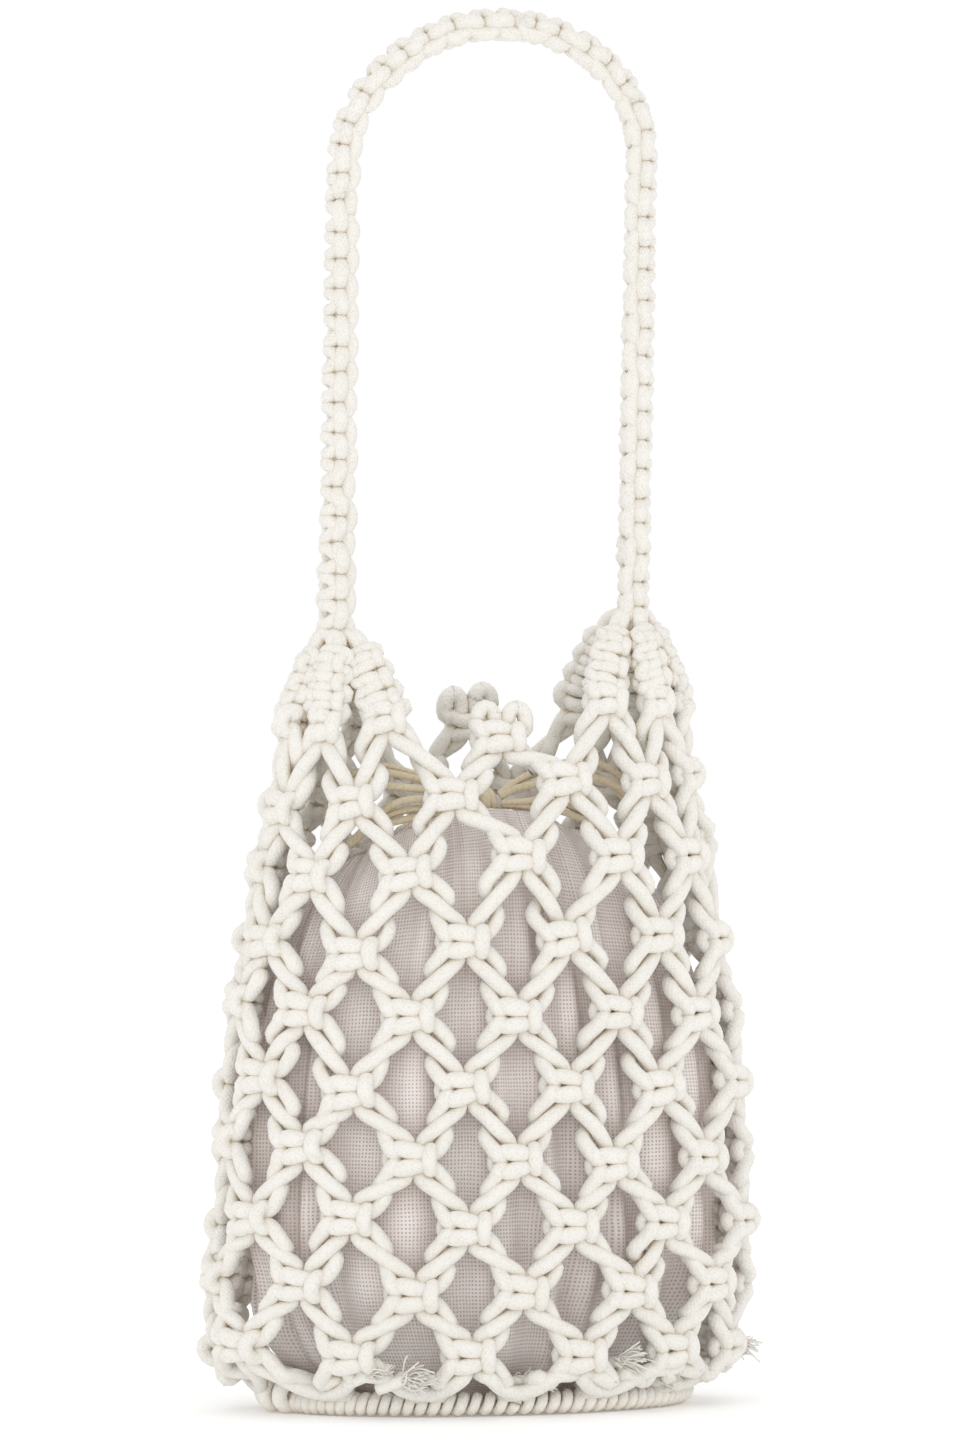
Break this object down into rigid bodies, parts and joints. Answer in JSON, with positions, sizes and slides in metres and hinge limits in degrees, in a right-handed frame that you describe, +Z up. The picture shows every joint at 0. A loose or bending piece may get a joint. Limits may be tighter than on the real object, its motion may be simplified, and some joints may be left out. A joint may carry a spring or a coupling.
{
  "type": "net bag",
  "caption": "Knotted cotton net bag with long sennit handle, gauze drawstring pouch inside and wrapped rim round a flat base.",
  "frame": {"origin": "centre of the underside of the base, on the surface the bag stands on", "axes": "+Z up, +X across the bag to the right seen from the front, front faces -Y"},
  "size_m": [0.2064, 0.1154, 0.5169],
  "materials": {
    "cotton_cord": "off-white braided cotton cord, matt",
    "base_cord": "creamy braided cotton cord, matt",
    "gauze": "loose greyish-pink gauze, matt",
    "waxed_cord": "thin tan waxed cord, slight sheen"
  },
  "bodies": {
    "root": {"net": "cotton_cord", "handle": "cotton_cord", "base_rim": "base_cord", "base_panel": "base_cord", "liner": "gauze", "sennit_left_front_inner": "cotton_cord", "sennit_left_front_outer": "cotton_cord", "sennit_left_side": "cotton_cord", "sennit_left_back_outer": "cotton_cord", "sennit_left_back_inner": "cotton_cord", "sennit_right_front_inner": "cotton_cord", "sennit_right_front_outer": "cotton_cord", "sennit_right_side": "cotton_cord", "sennit_right_back_outer": "cotton_cord", "sennit_right_back_inner": "cotton_cord", "picot_front_left": "cotton_cord", "picot_front_right": "cotton_cord", "picot_back_left": "cotton_cord", "picot_back_right": "cotton_cord", "drawcord_left_upper": "waxed_cord", "drawcord_left_lower": "waxed_cord", "drawcord_right_upper": "waxed_cord", "drawcord_right_lower": "waxed_cord", "drawcord_knot_middle": "waxed_cord", "drawcord_knot_left": "waxed_cord", "drawcord_knot_right": "waxed_cord"}
  },
  "joints": []
}
